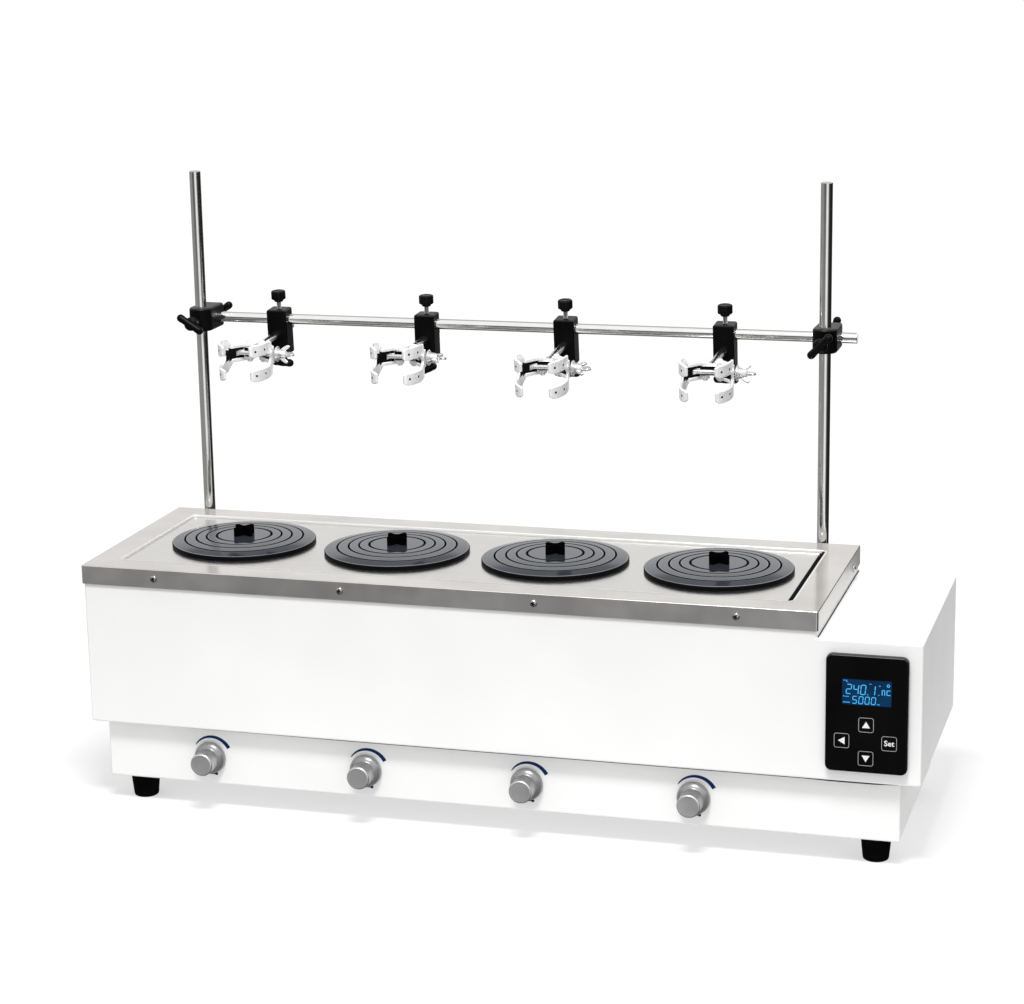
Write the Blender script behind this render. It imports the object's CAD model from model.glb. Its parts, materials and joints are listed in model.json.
import json
import math

import bmesh
import bpy
from mathutils import Matrix, Vector

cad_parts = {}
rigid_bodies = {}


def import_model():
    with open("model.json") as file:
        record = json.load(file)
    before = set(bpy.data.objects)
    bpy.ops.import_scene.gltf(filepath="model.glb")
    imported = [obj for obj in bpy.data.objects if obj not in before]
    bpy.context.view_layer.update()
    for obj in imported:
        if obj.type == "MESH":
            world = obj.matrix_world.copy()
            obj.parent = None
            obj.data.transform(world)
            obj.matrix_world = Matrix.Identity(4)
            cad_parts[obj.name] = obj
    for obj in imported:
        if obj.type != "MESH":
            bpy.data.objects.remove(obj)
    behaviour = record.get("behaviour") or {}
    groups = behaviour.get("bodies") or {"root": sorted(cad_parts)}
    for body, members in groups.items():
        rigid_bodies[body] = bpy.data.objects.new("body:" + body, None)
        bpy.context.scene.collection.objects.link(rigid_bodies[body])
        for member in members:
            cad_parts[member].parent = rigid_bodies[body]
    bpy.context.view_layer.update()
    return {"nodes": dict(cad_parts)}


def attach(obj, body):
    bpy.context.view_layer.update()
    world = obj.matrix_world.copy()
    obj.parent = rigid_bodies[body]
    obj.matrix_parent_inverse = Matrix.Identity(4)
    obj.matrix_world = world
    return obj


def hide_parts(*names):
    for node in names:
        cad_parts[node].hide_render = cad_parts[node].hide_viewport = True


for o in list(bpy.data.objects):
    bpy.data.objects.remove(o, do_unlink=True)

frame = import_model()
scene = bpy.context.scene

# ---------------------------------------------------------------- frame and sizes
# Work is done in millimetres about the collar's centre, then moved to the row frame in metres.
XS, YS = -47.15, -26.3
MM = Matrix.Scale(0.001, 4) @ Matrix.Translation((XS, YS, 0.0))

CAS_L, CAS_R, CAS_Y = -368.3, 466.5, 121.5
PART_X = 368.3
CAS_Z, CTRL_Z, TUCK_Z = 85.5, 222.7, 240.3
BASE_L, BASE_R, BASE_Y = -354.8, 446.5, 111.5
FOOT_H = 25.5
HL, HD = 370.0, 123.2
COL_TOP, COL_LOW = 248.3, 229.6
OPEN_X, OPEN_Y = 340.0, 93.2
LEDGE_Z = 244.8
PLATE_Z = 246.3
STATION = [-246.25, -80.75, 84.75, 250.25]
ROW_Y = 4.0
KNOB_X = [-244.5, -79.5, 85.5, 250.5]
KNOB_Z = 53.5
PX, PZ, PY = 416.0, 153.8, -127.5
RODS = [-338.0, 330.0]
ROD_Y, ROD_TOP = 133.0, 611.0
CR_Y, CR_Z = 155.0, 453.0
HOLDER_X = [-257.5, -93.0, 57.6, 224.6]
LEAN = [4.0, 2.5, 6.0, 5.0]
BAR_TURN = [-12.0, 78.0, 4.0, 0.0]
WING_TURN = [62.0, 12.0, 24.0, 58.0]
SPADE_TURN = [12.0, -6.0, 8.0, 0.0]
ARM_DROP, JAW_OUT, HEAD_DX, PIVOT_X = 15.0, 80.0, 3.5, 7.5
KEYS = {"up": (0.0, -9.5), "down": (0.0, -42.0), "shift": (-22.5, -26.0), "set": (21.5, -26.0)}
SCREW_X = [-292.0, -97.0, 98.0, 293.0]
RING_D = [147.0, 120.0, 97.0, 76.0, 55.0]
RING_H = [4.2, 6.7, 7.5, 8.2, 8.4]


# ---------------------------------------------------------------- materials
def shader(name):
    m = bpy.data.materials.new(name)
    m.use_nodes = True
    nt = m.node_tree
    b = nt.nodes["Principled BSDF"]
    return m, nt, b


def add(nt, kind, **inputs):
    n = nt.nodes.new(kind)
    for k, v in inputs.items():
        n.inputs[k.replace("_", " ")].default_value = v
    return n


def coords(nt, scale=(1, 1, 1), loc=(0, 0, 0)):
    tc = nt.nodes.new("ShaderNodeTexCoord")
    mp = nt.nodes.new("ShaderNodeMapping")
    mp.inputs["Scale"].default_value = scale
    mp.inputs["Location"].default_value = loc
    nt.links.new(tc.outputs["Object"], mp.inputs["Vector"])
    return mp.outputs["Vector"]


def noise(nt, vec, scale, detail=3.0, rough=0.55):
    n = add(nt, "ShaderNodeTexNoise", Scale=scale, Detail=detail, Roughness=rough)
    nt.links.new(vec, n.inputs["Vector"])
    return n.outputs["Fac"]


def span(nt, fac, lo, hi, a=0.3, b=0.7):
    r = nt.nodes.new("ShaderNodeMapRange")
    r.inputs["From Min"].default_value = a
    r.inputs["From Max"].default_value = b
    r.inputs["To Min"].default_value = lo
    r.inputs["To Max"].default_value = hi
    nt.links.new(fac, r.inputs["Value"])
    return r.outputs["Result"]


def blend(nt, fac, c0, c1, a=0.3, b=0.7):
    r = nt.nodes.new("ShaderNodeValToRGB")
    r.color_ramp.elements[0].position = a
    r.color_ramp.elements[1].position = b
    r.color_ramp.elements[0].color = (*c0, 1)
    r.color_ramp.elements[1].color = (*c1, 1)
    nt.links.new(fac, r.inputs["Fac"])
    return r.outputs["Color"]


def bump(nt, bsdf, height, strength, dist, after=None):
    n = add(nt, "ShaderNodeBump", Strength=strength, Distance=dist)
    nt.links.new(height, n.inputs["Height"])
    if after is not None:
        nt.links.new(after, n.inputs["Normal"])
    nt.links.new(n.outputs["Normal"], bsdf.inputs["Normal"])
    return n.outputs["Normal"]


def finish_mat(name, c0, c1, r0, r1, metal=0.0, spec=0.5, wear=70.0, grain=900.0, depth=0.05, dist=0.0002,
               stretch=(1, 1, 1), coat=0.0, coat_rough=0.1, loc=(0, 0, 0)):
    """A finish with slow colour drift, roughness that varies with handling marks and a fine surface grain."""
    m, nt, b = shader(name)
    plain = coords(nt, loc=loc)
    fine = coords(nt, scale=stretch, loc=loc)
    slow = noise(nt, plain, wear * 0.25, 2.0)
    marks = noise(nt, plain, wear, 5.0, 0.65)
    tex = noise(nt, fine, grain, 3.0)
    nt.links.new(blend(nt, slow, c0, c1), b.inputs["Base Color"])
    mix = nt.nodes.new("ShaderNodeMath")
    mix.operation = "MULTIPLY_ADD"
    mix.inputs[1].default_value = 0.5
    nt.links.new(marks, mix.inputs[0])
    half = nt.nodes.new("ShaderNodeMath")
    half.operation = "MULTIPLY"
    half.inputs[1].default_value = 0.5
    nt.links.new(tex, half.inputs[0])
    nt.links.new(half.outputs[0], mix.inputs[2])
    nt.links.new(span(nt, mix.outputs[0], r0, r1), b.inputs["Roughness"])
    b.inputs["Metallic"].default_value = metal
    b.inputs["Specular IOR Level"].default_value = spec
    b.inputs["Coat Weight"].default_value = coat
    b.inputs["Coat Roughness"].default_value = coat_rough
    bump(nt, b, tex, depth, dist)
    return m


def turned_mat(name, c0, c1, r0, r1, axis, pitch, metal=1.0, depth=0.05):
    """Turned or ground metal: fine lines round the axis, worked from the position along it, with long soft streaks."""
    m, nt, b = shader(name)
    sc = {"X": (pitch, 30, 30), "Y": (30, pitch, 30), "Z": (30, 30, pitch)}[axis]
    lines = noise(nt, coords(nt, scale=sc), 1.0, 4.0, 0.7)
    marks = noise(nt, coords(nt), 55.0, 5.0, 0.65)
    nt.links.new(blend(nt, marks, c0, c1), b.inputs["Base Color"])
    mix = nt.nodes.new("ShaderNodeMath")
    mix.operation = "MULTIPLY_ADD"
    mix.inputs[1].default_value = 0.6
    nt.links.new(lines, mix.inputs[0])
    half = nt.nodes.new("ShaderNodeMath")
    half.operation = "MULTIPLY"
    half.inputs[1].default_value = 0.4
    nt.links.new(marks, half.inputs[0])
    nt.links.new(half.outputs[0], mix.inputs[2])
    nt.links.new(span(nt, mix.outputs[0], r0, r1), b.inputs["Roughness"])
    b.inputs["Metallic"].default_value = metal
    bump(nt, b, lines, depth, 0.0001)
    return m


def glow_mat(name, c0, c1, strength, grain):
    m, nt, b = shader(name)
    f = noise(nt, coords(nt), grain, 2.0)
    col = blend(nt, f, c0, c1)
    nt.links.new(col, b.inputs["Base Color"])
    nt.links.new(col, b.inputs["Emission Color"])
    b.inputs["Emission Strength"].default_value = strength
    nt.links.new(span(nt, f, 0.25, 0.4), b.inputs["Roughness"])
    return m


WHITE = finish_mat("white_paint", (0.80, 0.80, 0.795), (0.84, 0.84, 0.835), 0.30, 0.44, wear=30, grain=1100, depth=0.035, spec=0.4)
STEEL = finish_mat("brushed_sheet", (0.715, 0.70, 0.675), (0.775, 0.76, 0.735), 0.16, 0.29, metal=1.0, wear=26, grain=1.0,
                   stretch=(18, 2600, 2600), depth=0.035, dist=0.0001)
COLLAR_TOP = finish_mat("brushed_collar", (0.635, 0.609, 0.578), (0.765, 0.735, 0.700), 0.09, 0.17, metal=1.0, wear=60, grain=1.0,
                   stretch=(18, 2600, 2600), depth=0.035, dist=0.0001)
FOLD = finish_mat("folded_edge", (0.10, 0.098, 0.095), (0.15, 0.147, 0.142), 0.35, 0.5, metal=1.0, wear=60, grain=800, depth=0.04)
RIM_WALL = finish_mat("rim_wall", (0.60, 0.59, 0.575), (0.66, 0.65, 0.635), 0.45, 0.6, metal=0.1, wear=40, grain=1200, depth=0.04)
STEEL_EDGE = finish_mat("rolled_edge", (0.89, 0.885, 0.87), (0.93, 0.925, 0.91), 0.26, 0.38, metal=0.8, wear=40, grain=1200, depth=0.04)
TANK = finish_mat("drawn_sheet", (0.52, 0.52, 0.515), (0.60, 0.60, 0.595), 0.28, 0.45, metal=1.0, wear=22, grain=1.0,
                  stretch=(30, 30, 1800), depth=0.10, dist=0.0001)
SKIRT = finish_mat("brushed_skirt", (0.595, 0.582, 0.566), (0.785, 0.767, 0.747), 0.26, 0.42, metal=1.0, wear=72, grain=1.0,
                   stretch=(18, 2600, 2600), depth=0.10, dist=0.0001)
COLLAR_END = finish_mat("brushed_end", (0.62, 0.608, 0.592), (0.72, 0.706, 0.688), 0.38, 0.50, metal=1.0, wear=16, grain=1.0,
                   stretch=(18, 2600, 2600), depth=0.10, dist=0.0001)
ROD_Z = turned_mat("ground_rod", (0.66, 0.655, 0.645), (0.74, 0.735, 0.725), 0.07, 0.15, "Z", 1400, depth=0.012)
ROD_X = turned_mat("ground_cross_rod", (0.91, 0.905, 0.895), (0.95, 0.945, 0.935), 0.06, 0.13, "X", 900, depth=0.02)
LID = finish_mat("moulded_lid", (0.018, 0.0205, 0.0270), (0.024, 0.0265, 0.034), 0.06, 0.12, wear=60, grain=420, depth=0.012, spec=0.56)
next(n for n in LID.node_tree.nodes if n.type == "BSDF_PRINCIPLED").inputs["Specular Tint"].default_value = (0.78, 0.89, 1.0, 1.0)
LID_RIM = finish_mat("moulded_lid_rim", (0.10, 0.105, 0.115), (0.16, 0.165, 0.175), 0.18, 0.30, wear=60, grain=420, depth=0.02, spec=0.5)
LID_EDGE = finish_mat("moulded_lid_edge", (0.0018, 0.0018, 0.002), (0.003, 0.003, 0.0033), 0.35, 0.5, wear=90, grain=700, depth=0.04, spec=0.03)
HANDLE = finish_mat("moulded_handle", (0.0010, 0.0010, 0.0011), (0.002, 0.002, 0.0022), 0.40, 0.55, wear=120, grain=900, depth=0.06, spec=0.0)
COAT = finish_mat("black_coat", (0.0014, 0.0014, 0.0015), (0.0026, 0.0026, 0.0028), 0.34, 0.50, wear=120, grain=1500, depth=0.08, spec=0.05)
COAT_TOP = finish_mat("black_coat_top", (0.006, 0.006, 0.0064), (0.010, 0.010, 0.0105), 0.32, 0.44, wear=120, grain=1500, depth=0.08, spec=0.22)
PLASTIC = finish_mat("black_plastic", (0.0016, 0.0016, 0.0018), (0.003, 0.003, 0.0032), 0.24, 0.38, wear=140, grain=1300, depth=0.06, spec=0.08)
RUBBER = finish_mat("rubber", (0.0015, 0.0015, 0.0015), (0.003, 0.003, 0.003), 0.60, 0.80, wear=160, grain=1800, depth=0.20, spec=0.02)
SEAM = finish_mat("seam_dark", (0.012, 0.012, 0.012), (0.03, 0.03, 0.03), 0.6, 0.8, wear=60, grain=1500, depth=0.10, spec=0.05)
LINING = finish_mat("grip_lining", (0.0018, 0.0018, 0.002), (0.004, 0.004, 0.0042), 0.45, 0.6, wear=200, grain=1700, depth=0.15, spec=0.06)
KNOB = turned_mat("satin_knob", (0.47, 0.47, 0.47), (0.55, 0.55, 0.55), 0.30, 0.46, "Y", 2200, depth=0.06)
KNOB_CAP = turned_mat("satin_knob_cap", (0.86, 0.86, 0.86), (0.93, 0.93, 0.93), 0.30, 0.46, "Y", 2200, depth=0.06)
KNOB_SKIRT = turned_mat("satin_knob_skirt", (0.25, 0.25, 0.25), (0.31, 0.31, 0.31), 0.24, 0.36, "Y", 2200, metal=0.6, depth=0.06)
CHROME = finish_mat("plated_clamp", (0.84, 0.84, 0.84), (0.91, 0.91, 0.91), 0.16, 0.30, metal=0.24, wear=150, grain=500, depth=0.03)
WING = finish_mat("plated_wing", (0.70, 0.70, 0.70), (0.78, 0.78, 0.78), 0.14, 0.26, metal=0.85, wear=150, grain=500, depth=0.03)
ARM = turned_mat("arm_steel", (0.70, 0.70, 0.70), (0.80, 0.80, 0.80), 0.14, 0.26, "Y", 1400)
PANEL = finish_mat("panel_black", (0.0016, 0.0016, 0.0018), (0.003, 0.003, 0.0033), 0.14, 0.26, wear=80, grain=1500, depth=0.02, spec=0.06)
PANEL_TOP = finish_mat("panel_black_edge", (0.010, 0.010, 0.0105), (0.014, 0.014, 0.0145), 0.30, 0.42, wear=80, grain=1500, depth=0.02, spec=0.35)
SCREW = finish_mat("screw_steel", (0.36, 0.36, 0.355), (0.46, 0.46, 0.455), 0.12, 0.22, metal=1.0, wear=400, grain=2500, depth=0.06)
MOTOR = finish_mat("motor_housing", (0.09, 0.092, 0.095), (0.13, 0.132, 0.135), 0.40, 0.6, metal=0.6, wear=60, grain=800, depth=0.12)
BOARD = finish_mat("board", (0.012, 0.085, 0.035), (0.02, 0.12, 0.05), 0.35, 0.55, wear=200, grain=900, depth=0.10)
NAVY = finish_mat("ink_navy", (0.0016, 0.017, 0.085), (0.003, 0.024, 0.11), 0.42, 0.56, wear=200, grain=1400, depth=0.04, spec=0.12)
INK = finish_mat("ink_white", (0.72, 0.72, 0.72), (0.80, 0.80, 0.80), 0.40, 0.55, wear=300, grain=1800, depth=0.04)
LINE = finish_mat("ink_grey", (0.30, 0.30, 0.30), (0.38, 0.38, 0.38), 0.40, 0.55, wear=300, grain=1800, depth=0.04)
BRASS = finish_mat("brass", (0.55, 0.40, 0.17), (0.62, 0.46, 0.21), 0.22, 0.38, metal=1.0, wear=300, grain=1200, depth=0.06)
DIGIT = glow_mat("display_digits", (0.045, 0.30, 0.60), (0.06, 0.36, 0.68), 0.52, 900.0)
FAINT = glow_mat("display_marks", (0.02, 0.20, 0.50), (0.03, 0.25, 0.58), 0.45, 900.0)


def display_mat():
    m, nt, b = shader("display_glass")
    vec = coords(nt)
    f = noise(nt, vec, 40.0, 2.0)
    grid = noise(nt, coords(nt, scale=(1, 1, 1)), 2600.0, 1.0)
    col = blend(nt, f, (0.0018, 0.015, 0.045), (0.0028, 0.028, 0.078))
    nt.links.new(col, b.inputs["Base Color"])
    nt.links.new(col, b.inputs["Emission Color"])
    b.inputs["Emission Strength"].default_value = 0.22
    nt.links.new(span(nt, grid, 0.10, 0.22), b.inputs["Roughness"])
    b.inputs["Specular IOR Level"].default_value = 0.08
    bump(nt, b, grid, 0.02, 0.00005)
    return m


GLASS = display_mat()


# ---------------------------------------------------------------- mesh helpers
def collect(parts):
    """Several shells, each (bmesh, matrix or None), put together as one bmesh."""
    out = bmesh.new()
    for bm, mx in parts:
        me = bpy.data.meshes.new("tmp")
        if mx is not None:
            bm.transform(mx)
        bmesh.ops.recalc_face_normals(bm, faces=bm.faces)
        bm.to_mesh(me)
        bm.free()
        out.from_mesh(me)
        bpy.data.meshes.remove(me)
    return out


def raw(name, bm, mat):
    bm.transform(MM)
    me = bpy.data.meshes.new(name)
    bm.to_mesh(me)
    bm.free()
    me.polygons.foreach_set("use_smooth", [True] * len(me.polygons))
    ob = bpy.data.objects.new(name, me)
    scene.collection.objects.link(ob)
    me.materials.append(mat)
    return ob


def bevel(ob, width, seg=2, angle=32.0):
    b = ob.modifiers.new("edge", "BEVEL")
    b.width = width * 1e-3
    b.segments = seg
    b.limit_method = "ANGLE"
    b.angle_limit = math.radians(angle)
    b.use_clamp_overlap = True
    return b


def bake(ob):
    dg = bpy.context.evaluated_depsgraph_get()
    dg.update()
    me = bpy.data.meshes.new_from_object(ob.evaluated_get(dg))
    old = ob.data
    ob.modifiers.clear()
    ob.data = me
    me.name = ob.name
    if old.users == 0:
        bpy.data.meshes.remove(old)


def carve(ob, bm, op="DIFFERENCE"):
    bmesh.ops.recalc_face_normals(bm, faces=bm.faces)
    c = raw("cutter", bm, ob.data.materials[0])
    m = ob.modifiers.new("cut", "BOOLEAN")
    m.operation = op
    m.solver = "EXACT"
    m.object = c
    bake(ob)
    me = c.data
    bpy.data.objects.remove(c)
    bpy.data.meshes.remove(me)


def settle(ob, body, nodes=(), sharp=None):
    """Normals, then the body the piece rides on and the CAD nodes it stands for."""
    if sharp is not None:
        ob.data.set_sharp_from_angle(angle=math.radians(sharp))
    w = ob.modifiers.new("normals", "WEIGHTED_NORMAL")
    w.weight = 60
    w.keep_sharp = sharp is not None
    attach(ob, body)
    if nodes:
        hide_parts(*nodes)
    return ob


def second(ob, mat, pick):
    """A second finish on the faces that pick(face) chooses."""
    me = ob.data
    me.materials.append(mat)
    k = len(me.materials) - 1
    for q in me.polygons:
        if pick(q):
            q.material_index = k


def skin(bm, loops, closed=False, caps=(True, True)):
    rows = [[bm.verts.new(p) for p in loop] for loop in loops]
    n = len(rows[0])
    last = len(rows) if closed else len(rows) - 1
    for i in range(last):
        a, b = rows[i], rows[(i + 1) % len(rows)]
        for k in range(n):
            bm.faces.new((a[k], a[(k + 1) % n], b[(k + 1) % n], b[k]))
    if not closed:
        if caps[0]:
            bm.faces.new(list(reversed(rows[0])))
        if caps[1]:
            bm.faces.new(rows[-1])
    return rows


def rrect(hx, hy, r, n=4):
    pts = []
    for cx, cy, a0 in ((hx - r, hy - r, 0), (-hx + r, hy - r, 90), (-hx + r, -hy + r, 180), (hx - r, -hy + r, 270)):
        for k in range(n + 1):
            a = math.radians(a0 + 90.0 * k / n)
            pts.append((cx + r * math.cos(a), cy + r * math.sin(a)))
    return pts


def spun(profile, segs=64, closed=False, shape=None):
    """Surface of revolution about Z from (radius, height) points; shape(angle, radius, row) may change the radius."""
    bm = bmesh.new()
    rows = []
    for j, (r, h) in enumerate(profile):
        if r <= 1e-6:
            rows.append([bm.verts.new((0, 0, h))])
            continue
        row = []
        for k in range(segs):
            a = 2 * math.pi * k / segs
            rr = shape(a, r, j) if shape else r
            row.append(bm.verts.new((rr * math.cos(a), rr * math.sin(a), h)))
        rows.append(row)
    last = len(rows) if closed else len(rows) - 1
    for i in range(last):
        a, b = rows[i], rows[(i + 1) % len(rows)]
        if len(a) == 1 and len(b) == 1:
            continue
        for k in range(segs):
            k2 = (k + 1) % segs
            if len(a) == 1:
                bm.faces.new((a[0], b[k2], b[k]))
            elif len(b) == 1:
                bm.faces.new((a[k], a[k2], b[0]))
            else:
                bm.faces.new((a[k], a[k2], b[k2], b[k]))
    if not closed:
        if len(rows[0]) > 1:
            bm.faces.new(list(reversed(rows[0])))
        if len(rows[-1]) > 1:
            bm.faces.new(rows[-1])
    return bm


def slab(poly, z0, z1):
    bm = bmesh.new()
    skin(bm, [[(x, y, z0) for x, y in poly], [(x, y, z1) for x, y in poly]])
    return bm


def block(x0, x1, y0, y1, z0, z1):
    return slab([(x0, y0), (x1, y0), (x1, y1), (x0, y1)], z0, z1)


def rod(r, h0, h1, segs=48, ch=0.6):
    return spun([(0, h0), (r - ch, h0), (r, h0 + ch), (r, h1 - ch), (r - ch, h1), (0, h1)], segs)


def tube(r, h0, h1, segs=48):
    return spun([(0, h0), (r, h0), (r, h1), (0, h1)], segs)


def T(x, y, z):
    return Matrix.Translation((x, y, z))


def RX(a):
    return Matrix.Rotation(math.radians(a), 4, "X")


def RY(a):
    return Matrix.Rotation(math.radians(a), 4, "Y")


def RZ(a):
    return Matrix.Rotation(math.radians(a), 4, "Z")


TO_X = RY(90)      # Z axis to +X
TO_Y = RX(-90)     # Z axis to +Y
TO_FRONT = RX(90)  # Z axis to -Y, X stays, Y to Z


# ---------------------------------------------------------------- casing and base
def casing():
    bm = bmesh.new()
    out = [(CAS_L, CAS_Z), (CAS_R, CAS_Z), (CAS_R, CTRL_Z), (PART_X, CTRL_Z), (PART_X, TUCK_Z), (CAS_L, TUCK_Z)]
    f = [bm.verts.new((x, -CAS_Y, z)) for x, z in out]
    b = [bm.verts.new((x, CAS_Y, z)) for x, z in out]
    bm.faces.new(f)
    bm.faces.new(list(reversed(b)))
    for i in (1, 2, 3, 5):
        j = (i + 1) % 6
        bm.faces.new((f[j], f[i], b[i], b[j]))
    ox0, ox1, oy = BASE_L + 12, BASE_R - 12, BASE_Y - 12
    inner = [bm.verts.new(p) for p in ((ox0, -oy, CAS_Z), (ox1, -oy, CAS_Z), (ox1, oy, CAS_Z), (ox0, oy, CAS_Z))]
    outer = [f[0], f[1], b[1], b[0]]
    for k in range(4):
        bm.faces.new((outer[k], inner[k], inner[(k + 1) % 4], outer[(k + 1) % 4]))
    bmesh.ops.recalc_face_normals(bm, faces=bm.faces)
    front = max(bm.faces, key=lambda q: -q.calc_center_median().y)
    if front.normal.y > 0:
        bmesh.ops.reverse_faces(bm, faces=bm.faces)
    ob = raw("casing_shell", bm, WHITE)
    bevel(ob, 2.0, 4)
    s = ob.modifiers.new("sheet", "SOLIDIFY")
    s.thickness = 0.0015
    s.offset = -1.0
    bake(ob)
    cuts = [(slab(rrect(34.2, 52.5, 3), -126, -115), Matrix(((1, 0, 0, PX), (0, 0, 1, 0), (0, 1, 0, PZ), (0, 0, 0, 1)))),
            (block(402.5, 433.5, CAS_Y - 8, CAS_Y + 4, 108.5, 131.5), None)]
    for k in range(6):
        cuts.append((slab(rrect(2.0, 20.0, 1.9), CAS_Y - 8, CAS_Y + 4),
                     Matrix(((1, 0, 0, 394 + k * 9), (0, 0, 1, 0), (0, 1, 0, 180), (0, 0, 0, 1)))))
    carve(ob, collect(cuts))
    settle(ob, "housing", ["upper_casing", "control_box"], sharp=40)


def seams():
    """Dark joint lines: under the casing's front edge and where the control box meets the tank section."""
    line = [(CAS_L + 90, CAS_Z - 0.05), (CAS_L + 260, CAS_Z - 0.65), (CAS_R - 110, CAS_Z - 0.75), (CAS_R - 84, CAS_Z - 1.35), (CAS_R - 44, CAS_Z - 1.35),
            (CAS_R - 20, CAS_Z - 0.2), (CAS_R - 20, CAS_Z + 0.4), (CAS_L + 90, CAS_Z + 0.4)]
    under = slab(line, CAS_Y - 3.3, CAS_Y - 1.3)
    under.transform(TO_FRONT)
    side = block(PART_X + 0.05, PART_X + 1.45, -CAS_Y + 1.6, CAS_Y - 3, CTRL_Z - 0.2, CTRL_Z + 0.8)
    ob = raw("casing_seams", collect([(under, None), (side, None)]), SEAM)
    bevel(ob, 0.2, 2, 40)
    settle(ob, "housing")


def base():
    bm = block(BASE_L, BASE_R, -BASE_Y, BASE_Y, FOOT_H, CAS_Z)
    top = max(bm.faces, key=lambda q: q.calc_center_median().z)
    bmesh.ops.delete(bm, geom=[top], context="FACES")
    bmesh.ops.recalc_face_normals(bm, faces=bm.faces)
    front = max(bm.faces, key=lambda q: -q.calc_center_median().y)
    if front.normal.y > 0:
        bmesh.ops.reverse_faces(bm, faces=bm.faces)
    ob = raw("base_shell", bm, WHITE)
    bevel(ob, 2.0, 4)
    s = ob.modifiers.new("sheet", "SOLIDIFY")
    s.thickness = 0.0015
    s.offset = -1.0
    bake(ob)
    carve(ob, collect([(tube(4.8, -8, 8), T(x, -BASE_Y, KNOB_Z) @ TO_Y) for x in KNOB_X]))
    settle(ob, "housing", ["base_pan"], sharp=40)


def feet():
    prof = [(0, 1.4), (5.5, 1.4), (6.2, 0.3), (11.2, 0.0), (12.2, 0.7), (12.6, 2.5), (14.5, 21.5), (14.9, 22.4), (14.9, 24.9), (14.4, 25.5), (0, 25.5)]
    parts = []
    for x in (BASE_L + 28, BASE_R - 25):
        for y in (-BASE_Y + 22, BASE_Y - 22):
            parts.append((spun(prof, 48), T(x, y, 0)))
    ob = raw("foot_set", collect(parts), RUBBER)
    bevel(ob, 0.35, 2, 40)
    settle(ob, "housing", ["rubber_feet"])


# ---------------------------------------------------------------- collar
def collar():
    bm = bmesh.new()
    e = 0.8
    rows = [(HL, HD, 2.2, COL_LOW), (HL, HD, 2.2, COL_TOP - e), (HL - 0.11, HD - 0.11, 2.1, COL_TOP - 0.4),
            (HL - 0.4, HD - 0.4, 1.9, COL_TOP - 0.11), (HL - e, HD - e, 1.7, COL_TOP),
            (OPEN_X + 1.9, OPEN_Y + 1.9, 5.9, COL_TOP), (OPEN_X + 1.6, OPEN_Y + 1.6, 5.6, COL_TOP + 0.3), (OPEN_X + 1.15, OPEN_Y + 1.15, 5.15, COL_TOP + 0.45),
            (OPEN_X + 0.6, OPEN_Y + 0.6, 4.6, COL_TOP + 0.38), (OPEN_X + 0.15, OPEN_Y + 0.15, 4.15, COL_TOP + 0.05),
            (OPEN_X, OPEN_Y, 4.0, COL_TOP - 0.6), (OPEN_X, OPEN_Y, 4.0, LEDGE_Z),
            (OPEN_X - 14, OPEN_Y - 14, 6.0, LEDGE_Z), (OPEN_X - 14, OPEN_Y - 14, 6.0, LEDGE_Z - 1.5),
            (OPEN_X + 1.5, OPEN_Y + 1.5, 5.0, LEDGE_Z - 1.5), (OPEN_X + 1.5, OPEN_Y + 1.5, 5.0, COL_TOP - 1.5),
            (HL - 1.5, HD - 1.5, 1.0, COL_TOP - 1.5), (HL - 1.5, HD - 1.5, 1.0, COL_LOW)]
    skin(bm, [[(x, y, z) for x, y in rrect(hx, hy, r, 4)] for hx, hy, r, z in rows], closed=True)
    bmesh.ops.recalc_face_normals(bm, faces=bm.faces)
    ob = raw("collar_frame", bm, COLLAR_TOP)
    second(ob, SKIRT, lambda q: q.normal.y < -0.6 and q.center.z < 0.2485 and q.center.y < -0.12)
    second(ob, COLLAR_END, lambda q: q.normal.x > 0.6 and q.center.z < 0.2485 and q.center.x > 0.28)
    inv = MM.inverted()

    def fold(q):
        """The right-hand top edge and the front corner below it, where the sheet is folded."""
        c = inv @ q.center
        if c.x < HL - 2.3 or q.normal.x < 0.2:
            return False
        if COL_TOP - 0.78 < c.z < COL_TOP - 0.02:
            return 0.3 < q.normal.z < 0.97
        return c.z < COL_TOP and q.normal.y < -0.3 and 0.3 < q.normal.x < 0.85
    second(ob, FOLD, fold)

    def lip(q):
        c = inv @ q.center
        return c.z > COL_TOP - 0.3 and abs(c.x) < OPEN_X + 1.88 and abs(c.y) < OPEN_Y + 1.88
    second(ob, STEEL_EDGE, lip)

    def wall(q):
        """Inner wall of the frame above the cover, at the back and the left."""
        c = inv @ q.center
        return LEDGE_Z + 0.3 < c.z < COL_TOP - 0.3 and c.x < OPEN_X - 20 and (abs(abs(c.y) - OPEN_Y) < 2.5 or abs(abs(c.x) - OPEN_X) < 2.5) and abs(q.normal.z) < 0.3 and abs(c.x) < OPEN_X + 0.3 and abs(c.y) < OPEN_Y + 0.3
    second(ob, RIM_WALL, wall)
    settle(ob, "housing", ["top_collar"], sharp=60)


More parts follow.
